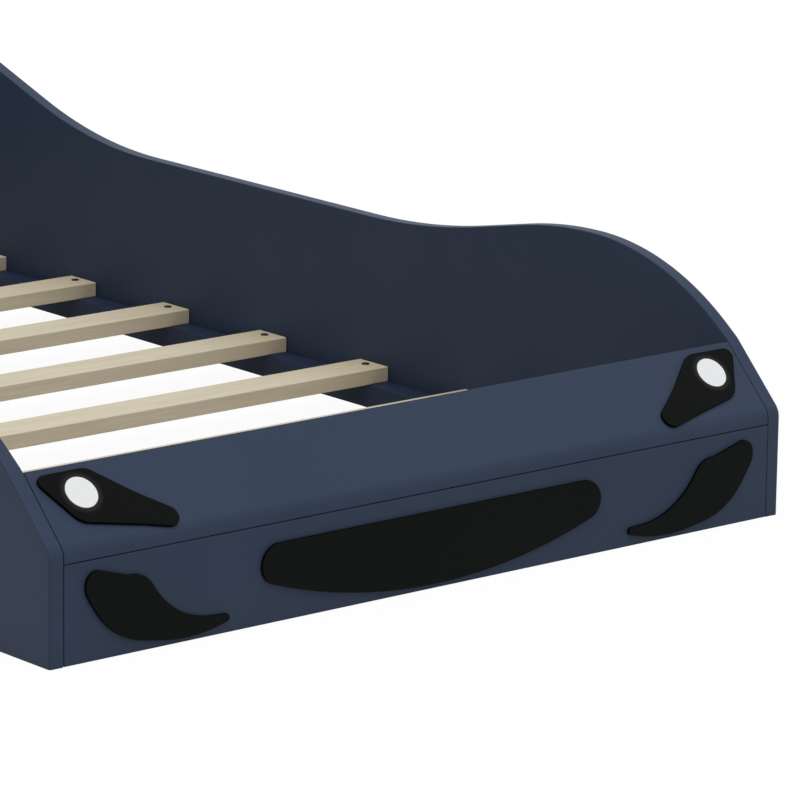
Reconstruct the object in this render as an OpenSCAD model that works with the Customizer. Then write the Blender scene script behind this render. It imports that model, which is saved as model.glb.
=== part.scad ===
// Car-shaped floor bed for a child, flat-pack boards in dark blue with pine slats.
// Millimetres. +Z is up, the car's front faces -Y, the headboard stands at +Y.
// The origin is on the floor, in the middle of the bed's length and width.
// Left is -X and right is +X, as seen by someone who faces the front.

/* [Boards] */
// Length of the side panels
bed_l = 2018; // [1900:1:2200]
// Clear width between the side panels
inner_w = 1000; // [850:1:1250]
// Thickness of the side, front and head boards
board_t = 18; // [16:0.5:22]
// Open seam where two boards meet edge to edge
seam = 0.9; // [0.2:0.1:1.2]

/* [Side outline] */
// Height of the corner where the upright front turns into the hood
nose_h = 123.5; // [118:0.5:135]
// Slope of the hood
hood_a = 45; // [40:1:50]
// Radius of the bend at the nose
bend_r = 20; // [19:1:24]
// Distance from the front to the shoulder above the hood
shoulder_y = 72.5; // [70:0.5:85]
// Radius of the shoulder
shoulder_r = 39; // [10:1:60]
// Top of the front wheel arch
arch_h = 280.5; // [255:0.5:310]
// Distance from the front to the corner ahead of the arch
arch_front = 188; // [170:1:210]
// Radius of the arch ahead of the wheel
arch_front_r = 369; // [250:1:400]
// Distance from the front to the corner behind the arch
arch_back = 372; // [350:1:420]
// Radius of the arch behind the wheel
arch_back_r = 611; // [400:1:700]
// Height of the low waist, where the child climbs in
waist_h = 232; // [200:1:250]
// Distance from the front to the corner where the waist begins
waist_front = 616; // [580:1:700]
// Radius where the arch runs down into the waist
waist_front_r = 1030; // [600:1:1200]
// Distance from the rear to the corner where the sides begin to rise
rise_l = 730.5; // [600:0.5:800]
// Radius at the foot of the rise
rise_r = 760; // [400:1:900]
// Slope of the rise
rise_a = 18.7; // [16:0.1:24]
// Height of the headboard end
head_h = 408; // [370:1:440]
// Radius at the top of the rise
head_r = 680; // [300:1:800]
// Radius of the rear top corner, on the sides and along the headboard
rear_r = 14; // [4:1:15]

/* [Front boards] */
// Height of the lower front board
bumper_h = 108.5; // [104:0.5:111]
// Length of the hood up its slope
hood_l = 99; // [97:0.5:101]

/* [Slat bed] */
// Width of one slat
slat_w = 54; // [40:1:80]
// Thickness of one slat
slat_t = 19; // [15:1:25]
// Radius of a slat's long edges
slat_r = 2.5; // [0.5:0.1:5]
// Front face of the bed to the first slat
slat_front = 73.6; // [73:0.1:100]
// Last slat to the headboard
slat_back = 72.4; // [20:0.1:120]
// Gap between a slat's end and the side panel
slat_gap = 1; // [0.5:0.1:3]
// Square section of the rails that carry the slats
rail_s = 30; // [25:1:36]
// Radius of a rail's inner top edge
rail_r = 2; // [0.5:0.1:5]

/* [Black plates] */
// Thickness of the grille, vent and lamp plates
plate_t = 4; // [2:0.5:8]
// Width of the grille
grille_w = 482; // [400:1:520]
// Height of the grille in the middle
grille_h = 82; // [70:0.5:85]
// Top edge of the lower board to the top of the grille
grille_drop = 21; // [18:0.5:24]
// Slope of the grille's lower edge at its ends
belly_a = 18.8; // [15:0.1:20]
// Radius of the grille's lower edge
belly_r = 700; // [500:1:720]
// Radius of the grille's upper corners
grille_top_r = 24; // [5:1:26]
// Radius of the grille's lower corners
grille_low_r = 22; // [5:1:26]
// End of the lower board to the vent's outer corner
vent_in = 25; // [24:0.5:60]
// Top edge of the lower board to the vent's top corner
vent_drop = 7.5; // [7:0.5:9]
// End of the hood to the lamp plate's outer corner
lamp_in = 6; // [4:0.5:60]
// Top edge of the hood to the lamp plate
lamp_drop = 10; // [9:0.5:11]
// Radius of the white lamp disc
disc_r = 19; // [10:0.1:24]
// Gap round the lamp disc in the hole of its plate
disc_gap = 0.2; // [0.1:0.1:0.5]
// How far the lamp disc stands proud of its plate
disc_out = 0.4; // [0.2:0.1:3]

/* [Wheels] */
// Radius of the black tyre disc
tyre_r = 115; // [90:1:116]
// Thickness of the tyre disc
tyre_t = 9; // [6:0.5:15]
// Gap between a tyre disc and the floor
tyre_gap = 3; // [1:0.5:20]
// Radius of the white hub disc
hub_r = 62; // [50:1:80]
// Thickness of the hub disc
hub_t = 4; // [2:0.5:8]
// Front of the bed to the front wheel's centre
wheel_front = 300; // [250:1:360]
// Rear of the bed to the rear wheel's centre
wheel_back = 350; // [250:1:420]
// Radius of the circle of screws in a tyre disc
wheel_screw_r = 40; // [25:1:44]

/* [Corner blocks] */
// Width of the block behind each end of the front boards
block_w = 25; // [20:1:25]
// Front of the bed to the back of that block
block_back = 70; // [50:1:72]
// Slat rail to the lower screw of that block
block_screw_low = 22; // [10:1:30]
// Between the two screws of that block
block_screw_gap = 40; // [15:1:45]

/* [Fasteners] */
// Radius of a wood screw's head
screw_head_r = 4.25; // [3.5:0.05:5]
// Thickness of a wood screw's head
screw_head_t = 3; // [2:0.1:3.5]
// Radius of a wood screw's shank
shank_r = 2; // [1.5:0.05:2.5]
// How far a screw bites into the piece behind
bite = 12; // [8:0.5:14]
// Radius of a slat screw's pan head
pan_r = 5; // [4.5:0.05:6.5]
// How far that head stands on the slat
pan_t = 1.6; // [1:0.1:2.5]
// Radius of a wooden dowel
dowel_r = 4; // [3:0.5:5]
// Depth of a dowel in a side panel
dowel_in = 10; // [7:0.5:13]
// Depth of a dowel in the other piece
dowel_out = 20; // [15:0.5:22]
// Slat rail to the lower cam of the lower board
cam_low = 15; // [9:0.5:17]
// Top edge of the lower board to its upper cam
cam_high = 25; // [12:0.5:27]
// Top and bottom of the headboard to their cams
cam_head = 60; // [20:1:90]
// Nose to the hood's cam, up the slope
cam_hood = 38; // [30:1:50]
// Nose to the hood's dowel, up the slope
dowel_hood = 75; // [64:1:85]
// Radius of a cam lock
cam_r = 7.5; // [6:0.5:7.5]
// Depth of a cam lock
cam_t = 12; // [11.5:0.1:12.5]
// Side panel to the centre of a cam lock
cam_in = 34; // [33:0.5:40]
// Radius of a cam bolt's thread
bolt_r = 3; // [2.5:0.1:3.5]
// Depth of a cam bolt in the side panel
bolt_in = 11; // [8:0.5:13]
// Length of the head of a cam bolt
bolt_head = 3.5; // [2:0.1:4]
// Clearance round a fastener in its hole
fit = 0.05; // [0.02:0.01:0.15]

/* [Hidden] */
$fn = 48;

navy = [0.22, 0.26, 0.33];
black = [0.09, 0.095, 0.09];
pine = [0.80, 0.75, 0.66];
white = [0.90, 0.91, 0.91];
zinc = [0.55, 0.56, 0.58];
black_zinc = [0.27, 0.27, 0.265];

left = -1;
right = 1;
eps = 0.01;
// How far an arc may bow out from the chords that draw it
arc_tol = 0.05;

// The middle of the whole bed lies this far behind its front face
mid_y = (bed_l - plate_t) / 2;
half_w = inner_w / 2;
board_w = inner_w - 2 * seam;
headboard_y = bed_l - board_t;

// Inner side of the hood's slope, at a distance y from the front face
function hood_under(y) = nose_h - board_t * cos(hood_a) + (y - board_t * sin(hood_a)) * tan(hood_a);
inner_bend_r = max(bend_r - board_t, 0.5);
hood_foot = bumper_h + seam;

slat_n = 10;
slat_l = inner_w - 2 * slat_gap;
slat_pitch = (headboard_y - slat_front - slat_back - slat_w) / (slat_n - 1);
slat_screw_x = half_w - rail_s / 2;
function slat_y(i) = slat_front + i * slat_pitch;

wheel_z = tyre_r + tyre_gap;
wheels_y = [wheel_front, bed_l - wheel_back];
wheel_screw_n = 3;

// The vent's corners, from its outer top corner, with the radius that rounds each one
vent = [[5, 0, 14.5], [0, -25.5, 25], [37.5, -82.5, 90], [143, -101, 194],
    [212.5, -80, 4.5], [116.5, -76, 100], [80.5, -17, 29.5], [58, -15.5, 26.5]];
// The lamp plate's corners, from the outer top corner of its straight sides
lamp = [[-4, 0.5, 9.5], [30, -61, 23], [101.5, -76.5, 156], [140, -86.5, 13.5],
    [157, -72, 12.5], [111, -38, 184], [67, 1, 22.5]];
// Centre of the white disc from the same corner
lamp_disc = [47.2, -27.6];

// A joint is [y, z, turn]: where its line crosses the board's middle, and how the board faces
function on_slope(up) = [up * cos(hood_a) + board_t / 2 * sin(hood_a),
    nose_h + up * sin(hood_a) - board_t / 2 * cos(hood_a), hood_a - 90];
bumper_cams = [for (z = [rail_s + cam_low, bumper_h - cam_high]) [board_t / 2, z, 0]];
bumper_dowels = [(bumper_cams[0] + bumper_cams[1]) / 2];
hood_cams = [on_slope(cam_hood)];
hood_dowels = [on_slope(dowel_hood)];
head_mid = [headboard_y + board_t / 2, head_h / 2];
head_cam_reach = head_h / 2 - cam_head;
head_cams = [for (k = [-1, 0, 1]) [head_mid[0], head_mid[1] + k * head_cam_reach, 180]];
head_dowels = [for (k = [-0.5, 0.5]) [head_mid[0], head_mid[1] + k * head_cam_reach, 180]];
all_cams = concat(bumper_cams, hood_cams, head_cams);
all_dowels = concat(bumper_dowels, hood_dowels, head_dowels);

// Dowels that hold a slat rail, in the middle of every other gap between slats
rail_dowels = [for (i = [0 : 2 : slat_n - 1]) [slat_y(i) + (slat_w + slat_pitch) / 2, rail_s / 2, 0]];

// Screws through a corner block, one above the other
block_screw_y = (board_t + block_back) / 2;
block_screws_z = [for (k = [0, 1]) rail_s + block_screw_low + k * block_screw_gap];

// Rounded outlines

// Turn of an outline at corner i, in degrees
function turn(p, i) = let (n = len(p), a = p[(i + n - 1) % n], b = p[i], c = p[(i + 1) % n],
    u = [b[0] - a[0], b[1] - a[1]], v = [c[0] - b[0], c[1] - b[1]])
    atan2(u[0] * v[1] - u[1] * v[0], u[0] * v[0] + u[1] * v[1]);
function side_len(p, i) = let (n = len(p), b = p[i], c = p[(i + 1) % n])
    norm([c[0] - b[0], c[1] - b[1]]);
// Length of straight side that the round at corner i takes up
function taken(p, i) = p[i][2] * tan(abs(turn(p, i)) / 2);
// Share of a round that fits between its neighbours
function room(p, i) = let (n = len(p), j = (i + n - 1) % n)
    min(1, side_len(p, i) / (taken(p, i) + taken(p, (i + 1) % n) + eps),
        side_len(p, j) / (taken(p, i) + taken(p, j) + eps));
// Points of the arc that rounds corner i
function arc(p, i) = let (n = len(p), a = p[(i + n - 1) % n], b = p[i], t = turn(p, i),
    r = b[2] * room(p, i), u = [b[0] - a[0], b[1] - a[1]] / side_len(p, (i + n - 1) % n),
    start = [b[0], b[1]] - u * r * tan(abs(t) / 2), s = sign(t),
    middle = start + s * r * [-u[1], u[0]], from = atan2(-s * u[0], s * u[1]),
    steps = max(2, ceil(abs(t) / (2 * acos(1 - min(arc_tol / r, 0.5))))))
    [for (k = [0 : steps]) middle + r * [cos(from + t * k / steps), sin(from + t * k / steps)]];
// An outline of [x, y, radius] corners, where a radius of 0 is a sharp corner
function outline(p) = [for (i = [0 : len(p) - 1])
    each (p[i][2] > 0 ? arc(p, i) : [[p[i][0], p[i][1]]])];

// Frames in which pieces are drawn

// Turns what is drawn from the front face into the bed's own frame
module from_front() {
    translate([0, -mid_y, 0]) children();
}

// Draws the left or the right one of a pair, from a shape on the right
module on_side(side) {
    mirror([side == left ? 1 : 0, 0, 0]) children();
}

// The hood's outer face: X across, Y up the slope, Z out of the hood
module on_hood() {
    translate([0, 0, nose_h]) rotate([hood_a, 0, 0]) children();
}

// Stands an outline of [y, z] corners across the bed, w thick, from x on towards +X
module across(x, w) {
    translate([x, 0, 0]) rotate([90, 0, 90]) linear_extrude(w) children();
}

// Runs an outline of [x, z] corners back along the bed, from the front on, l long
module along(l) {
    translate([0, l, 0]) rotate([90, 0, 0]) linear_extrude(l) children();
}

// A joint's own frame: X goes out through the side panel, Y to the board's inner face
module at_joint(j) {
    translate([half_w, j[0], j[1]]) rotate([j[2], 0, 0]) children();
}

// A cylinder along X, from x0 to x1
module rod(x0, x1, r) {
    translate([x0, 0, 0]) rotate([0, 90, 0]) cylinder(h = x1 - x0, r = r);
}

// Fasteners and their holes

// A wood screw with a flat-topped head, the head's top at the origin and the point at -Z
module wood_screw(length, head_r = screw_head_r, head_t = screw_head_t) {
    recess = [head_r * 1.2, head_r / 4, head_t];
    tip = shank_r;
    difference() {
        union() {
            translate([0, 0, -head_t]) cylinder(h = head_t, r = head_r);
            translate([0, 0, tip - length]) cylinder(h = length - tip - head_t / 2, r = shank_r);
            translate([0, 0, -length]) cylinder(h = tip, r1 = shank_r / 4, r2 = shank_r);
        }
        for (a = [0, 90]) rotate([0, 0, a]) cube(recess, center = true);
    }
}

// Close hole for a screw's shank, from the surface down
module shank_hole(length) {
    translate([0, 0, -length - fit]) cylinder(h = length + fit + eps, r = shank_r + fit);
}

// Hole for a screw whose head lies flush: a seat for the head above the shank's hole
module screw_seat(length, seat_r) {
    translate([0, 0, -screw_head_t]) cylinder(h = screw_head_t + eps, r = seat_r);
    shank_hole(length);
}

// A bolt with its thread in the side panel, a thinner neck and its head in the cam
module cam_bolt() {
    collar = bolt_r;
    rod(-collar, bolt_in, bolt_r);
    rod(-cam_in, 0, bolt_r * 0.8);
    rod(-cam_in - bolt_head / 2, -cam_in + bolt_head / 2, bolt_r);
}

// A drum with a bore across it for the bolt and a cross slot for the screwdriver
module cam_lock() {
    slot = [cam_r * 1.2, cam_r / 5, cam_t / 3];
    translate([-cam_in, board_t / 2, 0]) rotate([90, 0, 0]) difference() {
        cylinder(h = cam_t, r = cam_r);
        translate([0, 0, board_t / 2]) rod(-bolt_head, cam_r + eps, bolt_r + 8 * fit);
        for (a = [0, 90]) rotate([0, 0, a]) cube(slot, center = true);
    }
}

// What a cam joint takes out of the board that it ends
module cam_seat() {
    rod(-cam_in, seam, bolt_r + 8 * fit);
    translate([-cam_in, board_t / 2 + eps, 0]) rotate([90, 0, 0])
        cylinder(h = cam_t + fit + eps, r = cam_r + fit);
}

module dowel() {
    rod(-dowel_out, dowel_in, dowel_r);
}

// A dowel's hole runs a little deeper than the dowel at both ends
module dowel_seat() {
    spare = dowel_r / 4;
    rod(-dowel_out - spare, dowel_in + spare, dowel_r + fit);
}

module block_screw_places() {
    for (z = block_screws_z) translate([half_w - block_w, block_screw_y, z]) rotate([0, -90, 0]) children();
}

module wheel_screw_places(y) {
    for (k = [0 : wheel_screw_n - 1])
        translate([half_w + board_t + tyre_t, y, wheel_z]) rotate([k * 360 / wheel_screw_n, 0, 0])
            translate([0, 0, wheel_screw_r]) rotate([0, 90, 0]) children();
}

// Boards

module side_outline() {
    shoulder_h = nose_h + shoulder_y * tan(hood_a);
    rise_foot = bed_l - rise_l;
    rise_top = rise_foot + (head_h - waist_h) / tan(rise_a);
    polygon(outline([[0, 0, 0], [bed_l, 0, 0], [bed_l, head_h, rear_r], [rise_top, head_h, head_r],
        [rise_foot, waist_h, rise_r], [waist_front, waist_h, waist_front_r],
        [arch_back, arch_h, arch_back_r], [arch_front, arch_h, arch_front_r],
        [shoulder_y, shoulder_h, shoulder_r], [0, nose_h, bend_r]]));
}

module side_panel(side) {
    color(navy) from_front() on_side(side) difference() {
        across(half_w, board_t) side_outline();
        for (j = all_cams) at_joint(j) rod(-seam, bolt_in + fit, bolt_r + fit);
        for (j = concat(all_dowels, rail_dowels)) at_joint(j) dowel_seat();
        block_screw_places() screw_seat(block_w + bite, screw_head_r);
        for (y = wheels_y) wheel_screw_places(y) screw_seat(tyre_t + bite, screw_head_r);
    }
}

module bumper_board() {
    color(navy) from_front() difference() {
        translate([-board_w / 2, 0, 0]) cube([board_w, board_t, bumper_h]);
        for (side = [left, right]) on_side(side) {
            for (j = bumper_cams) at_joint(j) cam_seat();
            for (j = bumper_dowels) at_joint(j) dowel_seat();
        }
    }
}

module hood_board() {
    top_y = hood_l * cos(hood_a);
    top_z = nose_h + hood_l * sin(hood_a);
    color(navy) from_front() difference() {
        across(-board_w / 2, board_w) polygon(outline([[0, hood_foot, 0], [board_t, hood_foot, 0],
            [board_t, hood_under(board_t), inner_bend_r],
            [top_y + board_t * sin(hood_a), top_z - board_t * cos(hood_a), 0],
            [top_y, top_z, 0], [0, nose_h, bend_r]]));
        for (side = [left, right]) on_side(side) {
            for (j = hood_cams) at_joint(j) cam_seat();
            for (j = hood_dowels) at_joint(j) dowel_seat();
        }
    }
}

module headboard() {
    color(navy) from_front() difference() {
        across(-board_w / 2, board_w) polygon(outline([[headboard_y, 0, 0], [bed_l, 0, 0],
            [bed_l, head_h, rear_r], [headboard_y, head_h, 0]]));
        for (side = [left, right]) on_side(side) {
            for (j = head_cams) at_joint(j) cam_seat();
            for (j = head_dowels) at_joint(j) dowel_seat();
        }
    }
}

// A square rail on the floor along the inside of a side panel, for the slats to lie on
module slat_rail(side) {
    rail_y = board_t + seam;
    color(navy) from_front() on_side(side) difference() {
        translate([0, rail_y, 0]) along(headboard_y - seam - rail_y)
            polygon(outline([[half_w - rail_s, 0, 0], [half_w, 0, 0], [half_w, rail_s, 0],
                [half_w - rail_s, rail_s, rail_r]]));
        for (i = [0 : slat_n - 1]) slat_screw_place(i) shank_hole(slat_t + bite);
        for (j = rail_dowels) at_joint(j) dowel_seat();
    }
}

// A block that stiffens the corner between a side panel, the lower board and the hood
module corner_block(side) {
    color(navy) from_front() on_side(side) difference() {
        across(half_w - block_w, block_w) polygon(outline([[board_t, rail_s, 0], [block_back, rail_s, 0],
            [block_back, hood_under(block_back), 0], [board_t, hood_under(board_t), inner_bend_r]]));
        block_screw_places() screw_seat(block_w + bite, screw_head_r + fit);
    }
}

// Slats

// Where a slat screw goes in, on top of the slat
module slat_screw_place(i) {
    translate([slat_screw_x, slat_y(i) + slat_w / 2, rail_s + slat_t]) children();
}

module slat(i) {
    color(pine) from_front() difference() {
        translate([0, slat_y(i), rail_s]) across(-slat_l / 2, slat_l) polygon(outline([[0, 0, slat_r],
            [slat_w, 0, slat_r], [slat_w, slat_t, slat_r], [0, slat_t, slat_r]]));
        for (side = [left, right]) on_side(side) slat_screw_place(i) shank_hole(slat_t + bite);
    }
}

// Black plates and white discs on the front

module grille_plate() {
    grille_top = bumper_h - grille_drop;
    belly_z = grille_top - grille_h - belly_r * (1 / cos(belly_a) - 1);
    half = grille_w / 2;
    low_z = belly_z + half * tan(belly_a);
    color(black) from_front() rotate([90, 0, 0]) linear_extrude(plate_t)
        polygon(outline([[-half, grille_top, grille_top_r], [-half, low_z, grille_low_r],
            [0, belly_z, belly_r], [half, low_z, grille_low_r], [half, grille_top, grille_top_r]]));
}

module vent_plate(side) {
    color(black) from_front() on_side(side) translate([half_w - vent_in, 0, bumper_h - vent_drop])
        rotate([90, 0, 0]) linear_extrude(plate_t) polygon(outline([for (p = vent) [-p[0], p[1], p[2]]]));
}

// The lamp plate's corner on the hood
module at_lamp() {
    on_hood() translate([half_w - lamp_in, hood_l - lamp_drop, 0]) children();
}

// The middle of the white disc, which is let into the lamp plate
module at_disc() {
    at_lamp() translate([-lamp_disc[0], lamp_disc[1], 0]) children();
}

module lamp_plate(side) {
    color(black) from_front() on_side(side) difference() {
        at_lamp() linear_extrude(plate_t) polygon(outline([for (p = lamp) [-p[0], p[1], p[2]]]));
        at_disc() translate([0, 0, -eps]) cylinder(h = plate_t + 2 * eps, r = disc_r + disc_gap, $fn = 96);
    }
}

module lamp_disc(side) {
    color(white) from_front() on_side(side) at_disc()
        cylinder(h = plate_t + disc_out, r = disc_r, $fn = 96);
}

// Wheels: flat discs fixed to the outside of the side panels, which don't turn

module tyre_disc(side, y) {
    color(black) from_front() on_side(side) difference() {
        translate([half_w + board_t, y, wheel_z]) rotate([0, 90, 0])
            cylinder(h = tyre_t, r = tyre_r, $fn = 128);
        wheel_screw_places(y) screw_seat(tyre_t + bite, screw_head_r + fit);
    }
}

module hub_disc(side, y) {
    color(white) from_front() on_side(side) translate([half_w + board_t + tyre_t, y, wheel_z])
        rotate([0, 90, 0]) cylinder(h = hub_t, r = hub_r, $fn = 96);
}

// Fasteners, each kind a group of separate pieces

module slat_screws() {
    color(black_zinc) from_front() for (side = [left, right]) on_side(side)
        for (i = [0 : slat_n - 1]) slat_screw_place(i)
            translate([0, 0, pan_t]) wood_screw(pan_t + slat_t + bite - fit, pan_r, pan_t);
}

module block_screws() {
    color(black_zinc) from_front() for (side = [left, right]) on_side(side)
        block_screw_places() wood_screw(block_w + bite - fit);
}

module wheel_screws() {
    color(black_zinc) from_front() for (side = [left, right]) on_side(side)
        for (y = wheels_y) wheel_screw_places(y) wood_screw(tyre_t + bite - fit);
}

module cam_bolts() {
    color(zinc) from_front() for (side = [left, right]) on_side(side)
        for (j = all_cams) at_joint(j) cam_bolt();
}

module cam_locks() {
    color(zinc) from_front() for (side = [left, right]) on_side(side)
        for (j = all_cams) at_joint(j) cam_lock();
}

module wood_dowels() {
    color(pine) from_front() for (side = [left, right]) on_side(side)
        for (j = concat(all_dowels, rail_dowels)) at_joint(j) dowel();
}

side_panel(left);  // side_panel_left
side_panel(right);  // side_panel_right
bumper_board();
hood_board();
headboard();
slat_rail(left);  // slat_rail_left
slat_rail(right);  // slat_rail_right
corner_block(left);  // corner_block_left
corner_block(right);  // corner_block_right
slat(0);  // slat_01
slat(1);  // slat_02
slat(2);  // slat_03
slat(3);  // slat_04
slat(4);  // slat_05
slat(5);  // slat_06
slat(6);  // slat_07
slat(7);  // slat_08
slat(8);  // slat_09
slat(9);  // slat_10
grille_plate();
vent_plate(left);  // vent_plate_left
vent_plate(right);  // vent_plate_right
lamp_plate(left);  // lamp_plate_left
lamp_plate(right);  // lamp_plate_right
lamp_disc(left);  // lamp_disc_left
lamp_disc(right);  // lamp_disc_right
tyre_disc(left, wheels_y[0]);  // tyre_disc_front_left
tyre_disc(right, wheels_y[0]);  // tyre_disc_front_right
tyre_disc(left, wheels_y[1]);  // tyre_disc_rear_left
tyre_disc(right, wheels_y[1]);  // tyre_disc_rear_right
hub_disc(left, wheels_y[0]);  // hub_disc_front_left
hub_disc(right, wheels_y[0]);  // hub_disc_front_right
hub_disc(left, wheels_y[1]);  // hub_disc_rear_left
hub_disc(right, wheels_y[1]);  // hub_disc_rear_right
slat_screws();
block_screws();
wheel_screws();
cam_bolts();
cam_locks();
wood_dowels();
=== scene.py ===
# %% [markdown]
# A low floor bed shaped like a car. It is flat-pack furniture: painted boards that stand on the
# floor, pine slats between them, and thin black and white plates that make the car's face.
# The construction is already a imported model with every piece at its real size. This lesson
# dresses it. The boards get eased edges, the slats get grain, the fasteners get their real form,
# and each surface gets the finish of the real material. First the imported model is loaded, because
# every piece below takes its size and place from it.

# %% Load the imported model
import math

import bmesh
import bpy
from mathutils import Matrix, Vector


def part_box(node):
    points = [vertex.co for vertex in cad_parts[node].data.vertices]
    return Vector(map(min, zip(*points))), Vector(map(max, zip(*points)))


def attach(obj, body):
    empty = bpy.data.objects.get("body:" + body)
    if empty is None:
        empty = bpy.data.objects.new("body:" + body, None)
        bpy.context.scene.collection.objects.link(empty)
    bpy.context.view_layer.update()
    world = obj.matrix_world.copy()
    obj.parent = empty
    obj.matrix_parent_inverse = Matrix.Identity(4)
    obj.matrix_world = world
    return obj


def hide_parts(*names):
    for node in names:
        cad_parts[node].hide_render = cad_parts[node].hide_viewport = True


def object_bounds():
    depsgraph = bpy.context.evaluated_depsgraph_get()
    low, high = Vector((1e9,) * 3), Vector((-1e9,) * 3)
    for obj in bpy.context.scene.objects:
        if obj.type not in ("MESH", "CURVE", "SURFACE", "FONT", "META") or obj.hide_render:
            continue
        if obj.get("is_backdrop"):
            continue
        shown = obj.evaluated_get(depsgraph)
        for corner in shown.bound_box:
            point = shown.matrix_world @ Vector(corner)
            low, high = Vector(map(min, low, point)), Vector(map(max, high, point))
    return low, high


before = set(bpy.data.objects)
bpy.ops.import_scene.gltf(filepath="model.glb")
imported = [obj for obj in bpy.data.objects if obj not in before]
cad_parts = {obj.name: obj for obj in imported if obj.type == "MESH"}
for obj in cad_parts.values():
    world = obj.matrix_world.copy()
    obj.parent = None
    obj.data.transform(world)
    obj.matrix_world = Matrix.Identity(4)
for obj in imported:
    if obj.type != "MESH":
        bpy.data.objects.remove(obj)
cad_low, cad_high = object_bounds()
MM = 0.001
print("packed size in mm:", [round(side / MM, 1) for side in cad_high - cad_low])

# %% [markdown]
# Blender's modelling operators act on whatever is selected, and a freshly loaded model is all
# selected. So the first helpers clear the selection, open one piece for editing, and pick edges
# by a rule about their place or length. A rule in code picks the same edges each time, which a
# click with the mouse doesn't.

# %% Open a piece and pick its edges
def only(piece):
    """Selects one object alone and makes it active."""
    bpy.ops.object.select_all(action="DESELECT")
    piece.select_set(True)
    bpy.context.view_layer.objects.active = piece


def open_piece(piece, part="EDGE"):
    """Opens one piece in edit mode with nothing selected."""
    only(piece)
    bpy.ops.object.mode_set(mode="EDIT")
    bpy.ops.mesh.select_mode(type=part)
    bpy.ops.mesh.select_all(action="DESELECT")


def close_piece():
    """Goes back to object mode, with the piece still selected."""
    bpy.ops.object.mode_set(mode="OBJECT")


def pick(piece, part, wanted):
    """Selects the faces or the edges of an open piece for which wanted() is true."""
    bpy.ops.mesh.select_mode(type=part)
    bpy.ops.mesh.select_all(action="DESELECT")
    shape = bmesh.from_edit_mesh(piece.data)
    for item in shape.faces if part == "FACE" else shape.edges:
        if wanted(item):
            item.select_set(True)
    bmesh.update_edit_mesh(piece.data)


print("objects selected after loading:", len(bpy.context.selected_objects))

# %% [markdown]
# No board has a knife-sharp edge. A router or sandpaper rounds it, and that narrow round is what
# catches the light and tells the eye how thick the board is. A bevel with a few segments does it.
# Smooth shading would then let the round bend the light on the flat face beside it, so each piece
# also gets weighted normals, which keep large faces flat.

# %% Round edges and smooth a piece
SMOOTH_ANGLE = math.radians(40)


def ease(piece, radius, wanted, steps=3):
    """Rounds the edges of an open piece that wanted() picks."""
    pick(piece, "EDGE", wanted)
    bpy.ops.mesh.bevel(offset=radius, segments=steps, affect="EDGES", clamp_overlap=False)


def smooth(piece):
    """Smooth shading on rounds, flat shading on flats."""
    only(piece)
    bpy.ops.object.shade_smooth_by_angle(angle=SMOOTH_ANGLE)
    piece.modifiers.new("Flat faces stay flat", "WEIGHTED_NORMAL").keep_sharp = True
    bpy.ops.object.modifier_apply(modifier="Flat faces stay flat")


print("edges that turn by more than", round(math.degrees(SMOOTH_ANGLE)), "degrees stay sharp")

# %% [markdown]
# Materials come next. Colours are given as hex values, which are sRGB, while shaders work in linear
# light, so one function converts them. A second function adds a shader node with its settings and what
# goes into its inputs, and it keeps each recipe below short to read. An input is named, or numbered
# where names repeat: a Mix node of colours takes the share at 0 and the two colours at 6 and 7, and
# gives the result at 2.

# %% Colours and shader nodes
def srgb(code):
    """Turns a colour such as #344155 into a shader's linear numbers, by the sRGB standard."""
    parts = [int(code[i : i + 2], 16) / 255 for i in (1, 3, 5)]
    linear = [c / 12.92 if c <= 0.04045 else ((c + 0.055) / 1.055) ** 2.4 for c in parts]
    return (*linear, 1.0)


def add(tree, kind, inputs, **settings):
    """Adds a shader node. An input holds a value, another node's output, or just that node,
    which stands for its first output."""
    node = tree.nodes.new("ShaderNode" + kind)
    for name, value in settings.items():
        setattr(node, name, value)
    for name, value in inputs.items():
        if isinstance(value, bpy.types.Node):
            value = value.outputs[0]
        if isinstance(value, bpy.types.NodeSocket):
            tree.links.new(value, node.inputs[name])
        else:
            node.inputs[name].default_value = value
    return node


print("the grey #808080 is", round(srgb("#808080")[0], 3), "in linear light")

# %% [markdown]
# Every finish on the bed starts and ends alike. It starts from an empty node tree and the object
# coordinates, which are metres here, so that a pattern has its real size on every piece. It ends
# with the standard surface shader. Two helpers hold those ends, and a recipe is what lies between.

# %% Start and end a material
def new_material(name):
    """An empty material, its node tree and the object coordinates in metres."""
    material = bpy.data.materials.new(name)
    material.use_nodes = True
    tree = material.node_tree
    tree.nodes.clear()
    return material, tree, add(tree, "TexCoord", {}).outputs["Object"]


def close_material(tree, **inputs):
    """Ends a recipe with the shader and the output. Underscores stand for spaces."""
    named = {name.replace("_", " "): value for name, value in inputs.items()}
    add(tree, "OutputMaterial", {"Surface": add(tree, "BsdfPrincipled", named)})


print("plain materials on the packed model:", len(bpy.data.materials))

# %% [markdown]
# The boards are MDF, rolled with a satin water-based paint in a dark greyish blue. A foam roller leaves
# a fine stipple about a millimetre apart and only some hundredths deep. It is drawn at its real size,
# because in the photograph, too, it is read only as a soft, slightly broken sheen and never as bumps.
# Paint film also varies a little in colour and gloss over a hand's width. So the recipe is one colour
# with two very weak large noises, and one fine noise for the bump. The sheen is kept low, as the
# photograph shows almost no reflection. The recipe can also paint a paler glow round given places, which
# the lamp plates need: that is a painted glow. The slat rails and the corner blocks, low inside the bed,
# are solid wood, painted matt with hardly any sheen. Their blue is darker as well: that is painted
# shade, for the little light that reaches low inside the bed.

# %% Satin paint rolled on a board
PATCH = 120 * MM
PATCH_GLOSS = 0.04
STIPPLE = 1.4 * MM
GLOW_FROM = 1 * MM
GLOW_TO = 8 * MM


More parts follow.
